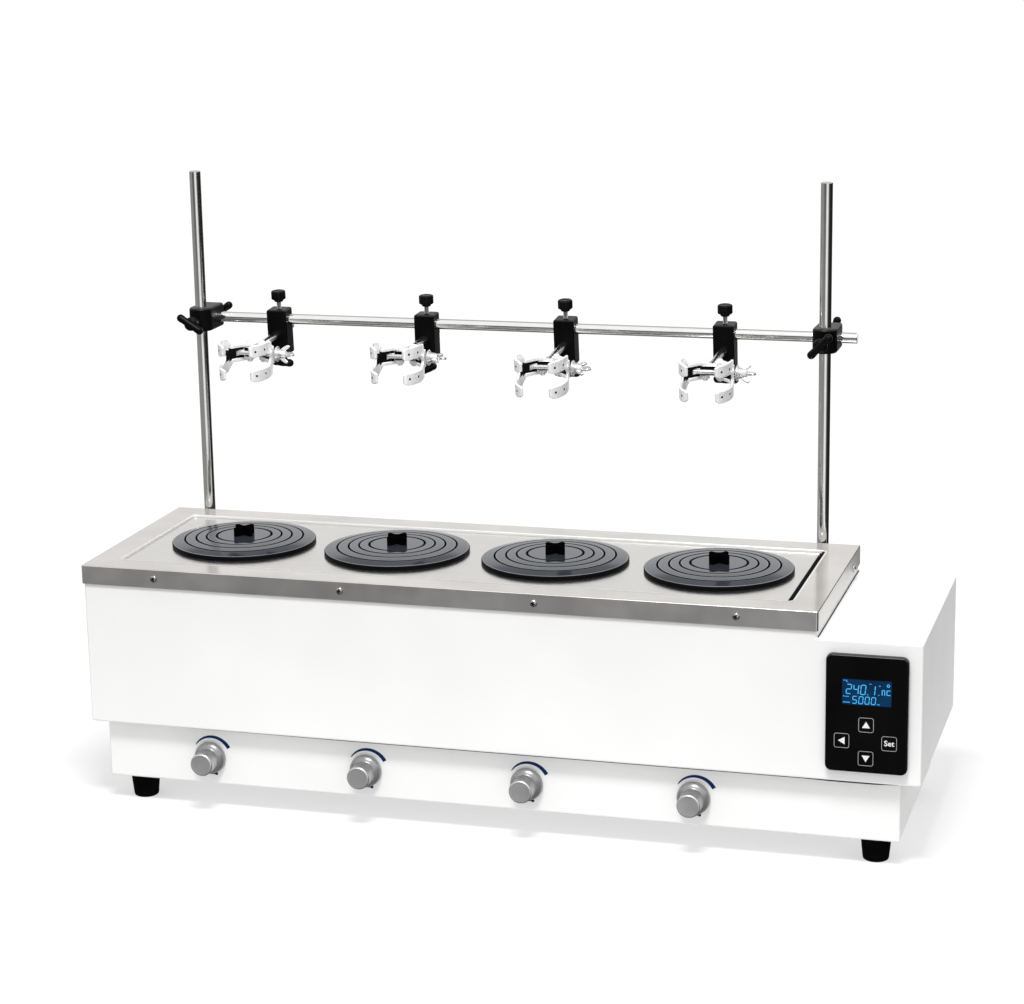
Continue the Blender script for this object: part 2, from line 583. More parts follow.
def screws():
    head = raw("screw_head", spun([(0, -6), (1.5, -6), (1.5, 0), (3.45, 0), (3.6, 0.2), (3.55, 0.9), (3.1, 1.5), (2.2, 2.0), (1.0, 2.2), (0, 2.2)], 40), SCREW)
    bars = [(block(-2.1, 2.1, -0.62, 0.62, 0.9, 4), None), (block(-0.62, 0.62, -2.1, 2.1, 0.9, 4), None)]
    cross = collect(bars[:1])
    carve(head, cross)
    carve(head, collect(bars[1:]))
    bm0 = bmesh.new()
    bm0.from_mesh(head.data)
    bm0.transform(MM.inverted())
    parts = []
    turn = 20
    for x in SCREW_X:
        for s in (-1, 1):
            parts.append((bm0.copy(), T(x, s * HD, 239) @ (RX(90) if s < 0 else RX(-90)) @ RZ(turn)))
            turn += 37
    parts.append((bm0.copy(), T(HL, 79, 236) @ RY(90) @ RZ(12)))
    parts.append((bm0.copy(), T(-HL, 79, 236) @ RY(-90) @ RZ(50)))
    bm0.free()
    inv = MM.inverted()
    me = head.data
    bpy.data.objects.remove(head)
    bpy.data.meshes.remove(me)
    ob = raw("screw_set", collect(parts), SCREW)

    def dark(q):
        h = min(abs(abs((inv @ q.center).y) - HD), abs(abs((inv @ q.center).x) - HL))
        return h < 0.35 or abs(h - 0.9) < 0.05
    second(ob, SEAM, dark)
    settle(ob, "housing", ["casing_screws"], sharp=35)


def seal():
    """Dark strip on the ledge in the open slot at the right end of the cover."""
    ob = raw("cover_seal", collect([(slab(rrect(2.5, 92.7, 0.6, 2), LEDGE_Z, LEDGE_Z + 0.9), T(337.3, 0, 0))]), RUBBER)
    bevel(ob, 0.2, 2, 40)
    settle(ob, "housing")


# ---------------------------------------------------------------- ring lids
def ring_bm(k, spig, zb):
    p = PLATE_Z
    ro, ri = RING_D[k] / 2, RING_D[k + 1] / 2
    ho, hi = p + RING_H[k], p + RING_H[k + 1]
    slope = (hi - ho) / (ro - ri)
    prof = [(ri - 5, p - 4), (spig - 0.4, p - 4), (spig, p - 3.6), (spig, zb), (ro - 0.3, zb), (ro, zb + 0.3), (ro, ho - 1.1),
            (ro - 0.3, ho - 0.5), (ro - 0.8, ho - 0.12), (ro - 1.5, ho + 1.5 * slope), (ri + 1.9, hi - 1.9 * slope), (ri + 1.35, hi - 0.4), (ri + 0.9, hi - 1.0), (ri + 0.5, p + 0.5), (ri - 5, p + 0.5)]
    return spun(prof, 144, closed=True)


def rings(i):
    sx = STATION[i]
    parts = [(ring_bm(0, 66.7, PLATE_Z), T(sx, ROW_Y, 0))]
    for k in (1, 2, 3):
        parts.append((ring_bm(k, RING_D[k] / 2 - 5.3, PLATE_Z + 0.55), T(sx, ROW_Y, 0)))
    ob = raw(f"ring_lids_{i + 1}", collect(parts), LID)
    second(ob, LID_EDGE, lambda q: q.normal.z < 0.86)
    inv = (MM @ T(sx, ROW_Y, 0)).inverted()

    def rim(q):
        c = inv @ q.center
        r = math.hypot(c.x, c.y)
        return q.normal.z >= 0.86 and any(d / 2 - 1.45 < r < d / 2 for d in RING_D)
    second(ob, LID_RIM, rim)
    settle(ob, f"rings_{i + 1}", [f"ring_set_{i + 1}"], sharp=40)


def lid(i):
    sx = STATION[i]
    p = PLATE_Z
    top = p + RING_H[4]
    ro = RING_D[4] / 2
    disc = spun([(0, p - 3), (22.0, p - 3), (22.2, p - 2.8), (22.2, p + 0.55), (ro - 0.3, p + 0.55), (ro, p + 0.85), (ro, top - 1.1), (ro - 0.3, top - 0.5), (ro - 0.8, top - 0.1), (ro - 1.5, top), (0, top)], 112)
    ob = raw(f"lid_disc_{i + 1}", collect([(disc, T(sx, ROW_Y, 0))]), LID)
    second(ob, LID_EDGE, lambda q: q.normal.z < 0.9)
    settle(ob, f"lid_{i + 1}", [f"centre_lid_{i + 1}"], sharp=40)
    fin = [(-12.0, -0.4), (12.0, -0.4), (12.0, 8.4), (11.4, 9.0), (-11.4, 9.0), (-12.0, 8.4)]
    parts = []
    for a in (60, 150):
        parts.append((slab(fin, -1.9, 1.9), T(sx, ROW_Y, top) @ RZ(a) @ RX(90)))
    h = raw(f"lid_handle_{i + 1}", collect(parts), HANDLE)
    bevel(h, 0.45, 3, 35)
    settle(h, f"lid_{i + 1}")


# ---------------------------------------------------------------- knobs and scale marks
def knob(i):
    n = 120
    prof = [(6.0, 4.0), (6.0, 0.0), (15.6, 0.0), (16.25, 0.7), (16.25, 2.4), (16.05, 3.6), (15.5, 4.8), (14.6, 5.9), (13.5, 6.8), (12.5, 7.4), (11.95, 7.8), (11.6, 8.2), (11.5, 8.6), (11.5, 9.0)]
    first = len(prof)
    prof += [(11.5, 9.3), (11.5, 23.3)]
    prof += [(11.5, 23.6), (11.5, 24.1), (11.3, 24.7), (10.85, 25.2), (10.3, 25.5), (9.8, 25.5), (9.5, 25.35), (0, 25.3)]

    def knurl(a, r, j):
        if j in (first, first + 1):
            k = int(round(a / (2 * math.pi) * n)) % 3
            return r - (0.38 if k == 2 else 0.0)
        return r
    head = spun(prof, n, shape=knurl)
    # the back face at the bore
    shaft = rod(3.0, -7, 19, 32, 0.4)
    ob = raw(f"knob_grip_{i + 1}", collect([(head, T(KNOB_X[i], -BASE_Y - 0.4, KNOB_Z) @ TO_FRONT), (shaft, T(KNOB_X[i], -BASE_Y - 0.4, KNOB_Z) @ TO_FRONT)]), KNOB)
    face_y = (MM @ Vector((0, -BASE_Y - 0.4 - 8.4, 0))).y
    second(ob, KNOB_SKIRT, lambda q: q.center.y > face_y)
    cap_y = (MM @ Vector((0, -BASE_Y - 0.4 - 25.0, 0))).y
    second(ob, KNOB_CAP, lambda q: q.center.y < cap_y)
    settle(ob, f"knob_{i + 1}", [f"speed_knob_{i + 1}"], sharp=38)


def scale_mark(i):
    parts = []
    top, bot = [], []
    steps = 40
    for k in range(steps + 1):
        t = k / steps
        a = math.radians(139 - 107 * t)
        r = 21.0 + 9.8 * t - 5.6 * t * t
        th = 0.6 + 3.5 * t ** 0.65
        top.append((r * math.cos(a), r * math.sin(a)))
        bot.append(((r - th) * math.cos(a), (r - th) * math.sin(a)))
    bm = bmesh.new()
    for h, flip in ((0.0, False), (0.12, True)):
        va = [bm.verts.new((x, y, h)) for x, y in top]
        vb = [bm.verts.new((x, y, h)) for x, y in bot]
        for k in range(steps):
            q = (va[k], va[k + 1], vb[k + 1], vb[k])
            bm.faces.new(q if flip else tuple(reversed(q)))
        if not flip:
            la, lb = va, vb
    for k in range(steps):
        bm.faces.new((la[k], la[k + 1], va[k + 1], va[k]))
        bm.faces.new((lb[k + 1], lb[k], vb[k], vb[k + 1]))
    bm.faces.new((la[0], va[0], vb[0], lb[0]))
    bm.faces.new((la[-1], lb[-1], vb[-1], va[-1]))
    parts.append((bm, None))
    parts.append((slab([(-4.5, -16.4), (4.6, -16.4), (4.6, -15.0), (-4.5, -15.0)], 0, 0.12), None))
    parts.append((slab([(5.4 + 1.65 * math.cos(q * math.pi / 12), -15.6 + 1.65 * math.sin(q * math.pi / 12)) for q in range(24)], 0, 0.13), None))
    place = T(KNOB_X[i], -BASE_Y, 52.0) @ TO_FRONT
    bm = collect(parts)
    bm.transform(place)
    ob = raw(f"scale_mark_{i + 1}", bm, NAVY)
    settle(ob, "housing", sharp=30)


# ---------------------------------------------------------------- control panel
def face(poly_or_bm):
    """From panel coordinates (x right, y up, z towards the viewer) to the panel's place."""
    return T(PX, 0, PZ) @ TO_FRONT


def panel():
    bm = bmesh.new()
    rows = [(38.2, 56.5, 6.0, 121.5), (38.2, 56.5, 6.0, 125.6), (37.93, 56.23, 5.75, 126.55), (37.2, 55.5, 5.1, 127.25), (36.2, 54.5, 4.4, 127.5)]
    skin(bm, [[(x, y, z) for x, y in rrect(hx, hy, r, 6)] for hx, hy, r, z in rows])
    bmesh.ops.recalc_face_normals(bm, faces=bm.faces)
    bm.transform(face(0))
    ob = raw("panel_bezel", bm, PANEL)
    cuts = [(slab(rrect(23.0, 12.5, 1.0), 124.0, 130), face(0) @ T(0, 21.5, 0))]
    for kx, kz in KEYS.values():
        cuts.append((slab(rrect(7.7, 7.7, 2.2), 123.0, 130), face(0) @ T(kx, kz, 0)))
    carve(ob, collect(cuts))
    second(ob, PANEL_TOP, lambda q: q.normal.z > 0.35 and q.center.z > 0.205)
    settle(ob, "housing", ["control_bezel"], sharp=40)


SEG = {"0": "abcdef", "1": "bc", "2": "abged", "3": "abgcd", "4": "fgbc", "5": "afgcd", "6": "afgedc", "7": "abc", "8": "abcdefg", "9": "abcdfg"}


def digit(ch, x, y, w, h, t):
    """Seven-segment strokes as small mitred bars; x, y is the lower left corner."""
    g = t * 0.16
    out = []

    def hbar(cy):
        a = t / 2
        return [(x + g + a, cy), (x + g + 2 * a, cy + a), (x + w - g - 2 * a, cy + a), (x + w - g - a, cy), (x + w - g - 2 * a, cy - a), (x + g + 2 * a, cy - a)]

    def vbar(cx, y0, y1):
        a = t / 2
        return [(cx, y0 + g + a), (cx + a, y0 + g + 2 * a), (cx + a, y1 - g - 2 * a), (cx, y1 - g - a), (cx - a, y1 - g - 2 * a), (cx - a, y0 + g + 2 * a)]
    a = t / 2
    shapes = {"a": hbar(y + h - a), "g": hbar(y + h / 2), "d": hbar(y + a),
              "f": vbar(x + a, y + h / 2 - a, y + h), "b": vbar(x + w - a, y + h / 2 - a, y + h),
              "e": vbar(x + a, y, y + h / 2 + a), "c": vbar(x + w - a, y, y + h / 2 + a)}
    for s in SEG[ch]:
        out.append([(px + 0.09 * (py - y), py) for px, py in shapes[s]])
    return out


def display():
    z0, z1 = 127.18, 127.26
    left, top = -22.8, 12.3
    strokes, marks = [], []
    for ch, x in (("2", 3.3), ("4", 9.9), ("0", 16.5), ("1", 25.2)):
        strokes += digit(ch, left + x, top - 14.6, 5.2, 9.8, 0.84)
    strokes.append([(left + 23.3, top - 14.6), (left + 24.2, top - 14.6), (left + 24.2, top - 13.7), (left + 23.3, top - 13.7)])
    for ch, x in (("5", 9.2), ("0", 15.0), ("0", 20.8), ("0", 26.6)):
        strokes += digit(ch, left + x, top - 23.6, 4.4, 7.6, 0.74)

    def bar(x, y, w, h):
        return [(left + x, top - y - h), (left + x + w, top - y - h), (left + x + w, top - y), (left + x, top - y)]
    for q in ((0.9, 1.2, 4.2, 0.7), (3.6, 2.6, 2.0, 0.6), (1.2, 16.0, 1.0, 1.4), (2.6, 16.6, 4.0, 0.8), (0.9, 22.0, 6.4, 1.0), (33.2, 13.6, 1.6, 0.7),
              (25.0, 3.4, 2.4, 0.6), (34.0, 4.6, 1.6, 1.0), (32.4, 22.6, 2.6, 0.8)):
        marks.append(bar(*q))
    # unit at the right of the upper row and a small round symbol above it
    for q in ((36.6, 8.6, 3.0, 0.8), (36.6, 8.6, 0.8, 5.2), (38.9, 8.6, 0.8, 5.2), (41.0, 8.6, 3.6, 0.8), (41.0, 8.6, 0.8, 5.2), (41.0, 13.0, 3.6, 0.8)):
        strokes.append(bar(*q))
    ringpts = [(left + 42.6 + 1.5 * math.cos(k * math.pi / 8), top - 4.4 + 1.5 * math.sin(k * math.pi / 8)) for k in range(16)]
    inner = [(left + 42.6 + 0.8 * math.cos(k * math.pi / 8), top - 4.4 + 0.8 * math.sin(k * math.pi / 8)) for k in range(16)]
    place = face(0) @ T(0, 21.5, 0)
    parts = [(slab(p, z0, z1), None) for p in strokes]
    ringbm = bmesh.new()
    skin(ringbm, [[(x, y, z0) for x, y in ringpts], [(x, y, z1) for x, y in ringpts], [(x, y, z1) for x, y in inner], [(x, y, z0) for x, y in inner]], closed=True)
    parts.append((ringbm, None))
    bm = collect(parts)
    bm.transform(place)
    ob = raw("display_digits", bm, DIGIT)
    settle(ob, "housing", sharp=30)
    bm = collect([(slab(p, z0, z1), None) for p in marks])
    bm.transform(place)
    ob = raw("display_marks", bm, FAINT)
    settle(ob, "housing", sharp=30)


def key_marks():
    z0, z1 = 127.98, 128.05
    tri = {"up": [(-3.7, -2.9), (3.7, -2.9), (0, 3.3)], "down": [(-3.7, 2.9), (0, -3.3), (3.7, 2.9)], "shift": [(2.9, -3.7), (2.9, 3.7), (-3.3, 0)]}
    for name, (kx, kz) in KEYS.items():
        place = face(0) @ T(kx, kz, 0)
        fr = bmesh.new()
        o, n = rrect(7.1, 7.1, 2.2, 5), rrect(6.6, 6.6, 1.7, 5)
        skin(fr, [[(x, y, z0) for x, y in o], [(x, y, z1) for x, y in o], [(x, y, z1) for x, y in n], [(x, y, z0) for x, y in n]], closed=True)
        bmesh.ops.recalc_face_normals(fr, faces=fr.faces)
        fr.transform(place)
        ob = raw(f"key_line_{name}", fr, LINE)
        settle(ob, f"{name}_key", sharp=30)
        if name in tri:
            bm = collect([(slab(tri[name], z0, z1), None)])
        else:
            cu = bpy.data.curves.new("word", "FONT")
            cu.body = "Set"
            cu.size = 7.4
            cu.align_x = "CENTER"
            cu.align_y = "CENTER"
            cu.offset = 0.13
            cu.extrude = 0.04
            cu.resolution_u = 6
            tmp = bpy.data.objects.new("word", cu)
            scene.collection.objects.link(tmp)
            dg = bpy.context.evaluated_depsgraph_get()
            dg.update()
            me = bpy.data.meshes.new_from_object(tmp.evaluated_get(dg))
            bm = bmesh.new()
            bm.from_mesh(me)
            bpy.data.meshes.remove(me)
            bpy.data.objects.remove(tmp)
            bpy.data.curves.remove(cu)
            bmesh.ops.remove_doubles(bm, verts=bm.verts, dist=1e-4)
            bm.transform(T(0, 0, 128.01))
        bm.transform(place)
        ob = raw(f"key_sign_{name}", bm, INK)
        settle(ob, f"{name}_key", sharp=30)


# ---------------------------------------------------------------- stand
def stand():
    parts = []
    for x in RODS:
        parts.append((spun([(0, 99), (5.4, 99), (6, 99.6), (6, 610.0), (5.75, 610.6), (5.1, 611), (0, 611)], 64), T(x, ROD_Y, 0)))
    ob = raw("upright_rods", collect(parts), ROD_Z)
    settle(ob, "housing", ["support_rods"], sharp=35)
    ob = raw("cross_bar", collect([(spun([(0, RODS[0] - 11), (4.9, RODS[0] - 11), (5.5, RODS[0] - 10.4), (5.5, RODS[1] + 28.4), (4.9, RODS[1] + 29), (0, RODS[1] + 29)], 64), T(0, CR_Y, CR_Z) @ TO_X)]), ROD_X)
    settle(ob, "crossbar", ["cross_rod"], sharp=35)
    # brackets at the back
    parts = []
    for x in RODS:
        for z in (95, 196):
            arc = [(11.4 * math.cos(math.radians(a)), 11.4 * math.sin(math.radians(a)) + ROD_Y) for a in range(0, 181, 10)]
            parts.append((slab([(11.4, CAS_Y)] + arc + [(-11.4, CAS_Y)], z, z + 22), T(x, 0, 0)))
    ob = raw("rod_brackets", collect(parts), STEEL)
    bevel(ob, 0.9, 3, 40)
    bake(ob)
    cut = []
    for x in RODS:
        cut.append((tube(6.06, 99, 125, 64), T(x, ROD_Y, 0)))
        cut.append((tube(6.06, 190, 230, 64), T(x, ROD_Y, 0)))
    carve(ob, collect(cut))
    settle(ob, "housing", ["rod_sockets"], sharp=40)


def t_screw(half, grip):
    """Thumb screw along +Z from its tip: shank, cone and a cross bar with rounded, slightly swollen ends."""
    shank = rod(3.0, 0, 18, 32, 0.5)
    cone = spun([(0, 9), (5.2, 9), (5.7, 9.6), (7.3, 22.0), (7.0, 24.6), (5.2, 26.2), (0, 26.8)], 40)
    bar = spun([(0, -half - 4.2), (1.6, -half - 3.9), (3.1, -half - 2.9), (4.0, -half - 1.2), (4.15, -half + 0.8), (3.85, -half * 0.55), (3.9, -3), (3.9, 0), (3.9, 3), (3.85, half * 0.55), (4.15, half - 0.8), (4.0, half + 1.2), (3.1, half + 2.9), (1.6, half + 3.9), (0, half + 4.2)], 36)
    return collect([(shank, None), (cone, None), (bar, T(0, 0, grip) @ TO_X)])


def bosses():
    parts = []
    for x in RODS:
        plan = [(12.5 * math.cos(math.radians(a)), -12.5 * math.sin(math.radians(a))) for a in range(0, 181, 9)]
        plan = [(12.0, 34.0)] + plan + [(-12.0, 34.0)]
        parts.append((slab(plan, -11.4, 13.5), T(x, ROD_Y, CR_Z)))
    ob = raw("boss_blocks", collect(parts), COAT)
    bevel(ob, 2.6, 4, 40)
    bake(ob)
    cut = []
    for x in RODS:
        cut.append((tube(6.06, -30, 30, 64), T(x, ROD_Y, CR_Z)))
    carve(ob, collect(cut))
    cut = []
    for x in RODS:
        cut.append((tube(5.56, -30, 30, 64), T(x, CR_Y, CR_Z) @ TO_X))
    carve(ob, collect(cut))
    second(ob, COAT_TOP, lambda q: q.normal.z > 0.5)
    settle(ob, "crossbar", ["boss_heads"], sharp=35)
    parts = []
    for x in RODS:
        parts.append((t_screw(12, 25), T(x, CR_Y + 5.8, CR_Z) @ TO_Y @ RZ(-35 if x < 0 else -75)))
        parts.append((t_screw(12, 25), T(x, ROD_Y - 6.3, CR_Z) @ TO_FRONT @ RZ(-32 if x < 0 else 46)))
    ob = raw("boss_thumb_screws", collect(parts), PLASTIC)
    settle(ob, "crossbar", ["boss_screws"], sharp=45)


# ---------------------------------------------------------------- clamps
def place_clamp(i):
    return T(HOLDER_X[i], CR_Y, CR_Z) @ RX(LEAN[i])


def holder(i):
    at = place_clamp(i)
    ob = raw(f"holder_block_{i + 1}", collect([(block(-11.3, 10.6, -10.5, 10.5, -38, 11), at)]), COAT)
    bevel(ob, 2.2, 4, 40)
    bake(ob)
    carve(ob, collect([(tube(5.56, -30, 30, 64), at @ TO_X)]))
    carve(ob, collect([(tube(4.06, -30, 30, 48), at @ T(0, 0, -ARM_DROP) @ TO_Y)]))
    second(ob, COAT_TOP, lambda q: q.normal.z > 0.5)
    settle(ob, f"holder_{i + 1}", [f"clamp_holder_{i + 1}"], sharp=35)
    shank = rod(2.5, -44, -19.4, 32, 0.4)
    cone = spun([(0, -45.5), (4.9, -45.5), (5.5, -44.8), (5.3, -43), (4.6, -40.0), (4.2, -39.0), (0, -39.0)], 40)
    bar = spun([(0, -13.2), (1.6, -12.9), (3.1, -11.9), (4.0, -10.2), (4.2, -8.2), (4.0, -5), (4.4, 0), (4.0, 5), (4.2, 8.2), (4.0, 10.2), (3.1, 11.9), (1.6, 12.9), (0, 13.2)], 36)
    ob = raw(f"holder_thumb_screw_{i + 1}", collect([(shank, at), (cone, at), (bar, at @ T(0, 0, -48) @ RZ(BAR_TURN[i]) @ TO_X)]), PLASTIC)
    settle(ob, f"holder_{i + 1}", sharp=45)


def lock_knob(i):
    at = place_clamp(i)

    def lobes(a, r, j):
        if j < 3 or j > 9:
            return r
        return r - 0.6 * max(0.0, math.cos(8 * a)) ** 3
    head = spun([(0, 18.6), (4.2, 18.6), (4.6, 19.0), (5.0, 20.6), (6.9, 21.1), (7.6, 21.8), (7.6, 24.5), (7.6, 28.9), (7.3, 29.7), (6.6, 30.2), (4.6, 30.4), (4.2, 30.1), (0, 30.0)], 96, shape=lobes)
    ob = raw(f"lock_knob_head_{i + 1}", collect([(head, at)]), PLASTIC)
    settle(ob, f"lock_knob_{i + 1}", [f"holder_knob_{i + 1}"], sharp=45)
    # threaded stem
    pts = [(0, 5.8)]
    z = 5.8
    while z < 18.4:
        pts += [(2.15, z), (2.5, z + 0.35)]
        z += 0.7
    pts += [(2.3, 19.0), (0, 19.0)]
    ob = raw(f"lock_knob_stem_{i + 1}", collect([(spun(pts, 28), at)]), SCREW)
    settle(ob, f"lock_knob_{i + 1}", sharp=35)


def arm(i):
    at = place_clamp(i) @ T(HEAD_DX, -JAW_OUT, -ARM_DROP)
    bar = spun([(0, 1), (4.0, 1), (4.0, 110.3), (3.4, 111), (0, 111)], 40)
    neck = spun([(0, 2), (4.8, 2), (4.8, 13.3), (4.3, 14), (0, 14)], 40)
    yoke = slab(rrect(12.3, 5.0, 3.0, 5), -5, 5)
    ob = raw(f"arm_yoke_{i + 1}", collect([(yoke, at)]), CHROME)
    back = at.to_3x3().inverted()
    second(ob, LINING, lambda q: (back @ q.normal).y < -0.3 or (back @ q.normal).x < -0.6)
    bevel(ob, 0.8, 3, 40)
    settle(ob, f"arm_{i + 1}", [f"clamp_arm_{i + 1}"])
    ob = raw(f"arm_bar_{i + 1}", collect([(bar, at @ T(-HEAD_DX, 0, 0) @ TO_Y), (neck, at @ T(-HEAD_DX, 0, 0) @ TO_Y)]), ARM)
    settle(ob, f"arm_{i + 1}", sharp=40)
    pins = []
    for s in (-1, 1):
        pins.append((spun([(0, -11.6), (1.6, -11.4), (2.5, -10.9), (2.9, -10.1), (2.9, -9.3), (2.0, -9.3), (2.0, 9.3), (2.9, 9.3), (2.9, 10.1), (2.5, 10.9), (1.6, 11.4), (0, 11.6)], 32), at @ T(s * PIVOT_X, 0, 0)))
    ob = raw(f"arm_pins_{i + 1}", collect(pins), CHROME)
    settle(ob, f"arm_{i + 1}", sharp=40)
    sx = at @ T(0, -9, 0) @ TO_X
    bolt = rod(2.2, -28.4, 34.0, 28, 0.5)
    head = spun([(0, -29.5), (3.0, -29.4), (5.2, -28.8), (6.0, -27.8), (6.0, -26.4), (5.6, -25.9), (0, -25.9)], 40)
    washer = spun([(0, 25.9), (7.6, 25.9), (8.0, 26.3), (8.0, 27.1), (7.6, 27.5), (0, 27.5)], 40)
    hub = spun([(0, 26.9), (5.4, 27.3), (5.6, 28.5), (5.2, 31.5), (4.4, 35.2), (3.7, 36.2), (0, 36.6)], 40)
    ob = raw(f"arm_bolt_{i + 1}", collect([(bolt, sx), (head, sx), (washer, sx), (hub, sx)]), WING)
    settle(ob, f"arm_{i + 1}", sharp=40)
    wing = [(29.6, 3.2), (33.6, 3.2), (36.4, 4.8), (38.6, 6.4), (39.5, 7.9), (39.1, 9.2), (37.7, 9.8), (36.0, 9.3), (33.2, 7.6), (30.6, 5.6)]
    spade = [(33.0, -2.3), (35.6, -3.2), (39.0, -3.9), (42.6, -3.6), (44.6, -2.5), (45.5, 0.0), (44.6, 2.5), (42.6, 3.6), (39.0, 3.9), (35.6, 3.2), (33.0, 2.3)]
    wings = [(slab(spade, -1.25, 1.25), at @ T(0, -9, 0) @ RX(SPADE_TURN[i]))]
    for s in (0, 180):
        wings.append((slab(wing, -1.3, 1.3), at @ T(0, -9, 0) @ RX(WING_TURN[i] + s)))
    ob = raw(f"arm_wing_nut_{i + 1}", collect(wings), WING)
    bevel(ob, 0.9, 3, 25)
    settle(ob, f"arm_{i + 1}")


def jaw_bm():
    """Right jaw about its pivot: a bowed strip that forks into an upper and a lower prong, and two ears on the pivot."""
    cx, cy, rm, th = -20.0, -30.0, 37.6, 2.8
    na, nz = 44, 6
    a0, a1 = 25.0, -42.0

    def top(a):
        if a > 12:
            t = (25 - a) / 13.0
            return 10.0 + 7.5 * t
        if a > -34:
            return 17.5 + 1.6 * min(1.0, (12 - a) / 20.0)
        t = (-34 - a) / 8.0
        return 19.1 - 2.6 * t ** 2.2

    def low(a):
        if a > 9:
            return 0.0
        if a > -6:
            t = (9 - a) / 15.0
            return 6.6 * math.sin(t * math.pi / 2)
        if a > -34:
            return 6.6
        t = (-34 - a) / 8.0
        return 6.6 + 1.6 * t ** 2.2
    bm = bmesh.new()
    for s in (1, -1):
        grid = {}
        for side, rr in ((0, rm - th / 2), (1, rm + th / 2)):
            for p in range(na + 1):
                a = a0 + (a1 - a0) * p / na
                # the tip curls in a little further
                curl = max(0.0, (-28 - a) / 14.0)
                r = rr - 2.2 * curl ** 2
                ca, sa = math.cos(math.radians(a)), math.sin(math.radians(a))
                for q in range(nz + 1):
                    z = low(a) + (top(a) - low(a)) * q / nz
                    grid[side, p, q] = bm.verts.new((cx + r * ca, cy + r * sa, s * z))
        for p in range(na):
            for q in range(nz):
                bm.faces.new((grid[0, p, q], grid[0, p + 1, q], grid[0, p + 1, q + 1], grid[0, p, q + 1]))
                bm.faces.new((grid[1, p, q], grid[1, p, q + 1], grid[1, p + 1, q + 1], grid[1, p + 1, q]))
            bm.faces.new((grid[0, p, nz], grid[0, p + 1, nz], grid[1, p + 1, nz], grid[1, p, nz]))
            a = a0 + (a1 - a0) * p / na
            if a <= 9 - 1e-6 or a0 + (a1 - a0) * (p + 1) / na < 9 - 1e-6:
                bm.faces.new((grid[0, p, 0], grid[1, p, 0], grid[1, p + 1, 0], grid[0, p + 1, 0]))
        for q in range(nz):
            bm.faces.new((grid[0, 0, q], grid[0, 0, q + 1], grid[1, 0, q + 1], grid[1, 0, q]))
            bm.faces.new((grid[0, na, q], grid[1, na, q], grid[1, na, q + 1], grid[0, na, q + 1]))
    bmesh.ops.remove_doubles(bm, verts=bm.verts, dist=1e-4)
    return bm


def jaws(i):
    for side, s in (("left", -1), ("right", 1)):
        at = place_clamp(i) @ T(HEAD_DX + s * PIVOT_X, -JAW_OUT, -ARM_DROP)
        flip = Matrix.Diagonal((s, 1, 1, 1))
        body = f"jaw_{side[0]}_{i + 1}"
        strip = jaw_bm()
        strip.transform(flip)
        ob = raw(f"jaw_prongs_{side}_{i + 1}", collect([(strip, at)]), CHROME)
        bevel(ob, 0.75, 3, 45)
        bake(ob)
        # small blind holes near the prong ends
        spots = ((-14, 12.4), (-14, -12.4), (-33, 12.6), (-33, -12.6))
        carve(ob, collect([(tube(1.2, 0, 6, 20), at @ flip @ T(-20, -30, z) @ RZ(a) @ T(37.5, 0, 0) @ TO_X) for a, z in spots]))
        inv = (MM @ at @ flip).inverted()
        turn = (at @ flip).to_3x3().inverted()

        def lined(q):
            c, n = inv @ q.center, turn @ q.normal
            rad = Vector((c.x + 20, c.y + 30, 0))
            if n.dot(rad.normalized()) < -0.6 and math.degrees(math.atan2(rad.y, rad.x)) > 6 and abs(c.z) < 6.2:
                return True
            for a, z in spots:
                ax = Vector((math.cos(math.radians(a)), math.sin(math.radians(a)), 0))
                v = Vector((c.x + 20, c.y + 30, c.z - z))
                if (v - ax * v.dot(ax)).length < 1.3 and 36.8 < v.dot(ax) < 38.5:
                    return True
            return False
        second(ob, LINING, lined)
        settle(ob, body, [f"jaw_{side}_{i + 1}"], sharp=38)
        web = slab([(3.6, -5.5), (12.8, -5.7), (17.0, -11.4), (16.4, -16.6), (13.2, -14.8), (7.6, -9.6)], -5.6, 5.6)
        ob = raw(f"jaw_web_{side}_{i + 1}", collect([(web, at @ flip)]), CHROME)
        bevel(ob, 0.4, 2, 40)
        bake(ob)
        carve(ob, collect([(block(0, 25, -11.8, -4.2, -2.6, 2.6), at @ flip)]))
        second(ob, LINING, lambda q: (turn @ q.normal).dot(Vector((-0.70, -0.71, 0))) > 0.4)
        settle(ob, body, sharp=38)
        outline = [(4.5 * math.cos(math.radians(a)), 4.5 * math.sin(math.radians(a))) for a in range(42, 281, 14)]
        outline += [(3.6, -6.4), (10.4, -13.6), (12.6, -16.0), (16.4, -16.6), (17.0, -11.4), (10.6, -3.6)]
        ears = []
        for t in (-1, 1):
            ears.append((slab(outline, t * 7.2 - 1.8, t * 7.2 + 1.8), at @ flip))
        ob = raw(f"jaw_ears_{side}_{i + 1}", collect(ears), CHROME)
        bevel(ob, 0.7, 3, 40)
        settle(ob, body)


# ---------------------------------------------------------------- back inlet
def inlet_pins():
    parts = []
    for x, z in ((-7, -1.5), (0, 2), (7, -1.5)):
        parts.append((slab(rrect(1.0, 2.0, 0.3, 2), -18.2, -4.4), T(418 + x, CAS_Y, 120 + z) @ Matrix(((1, 0, 0, 0), (0, 0, 1, 0), (0, 1, 0, 0), (0, 0, 0, 1)))))
    ob = raw("inlet_pins", collect(parts), BRASS)
    bevel(ob, 0.25, 2, 40)
    settle(ob, "housing")


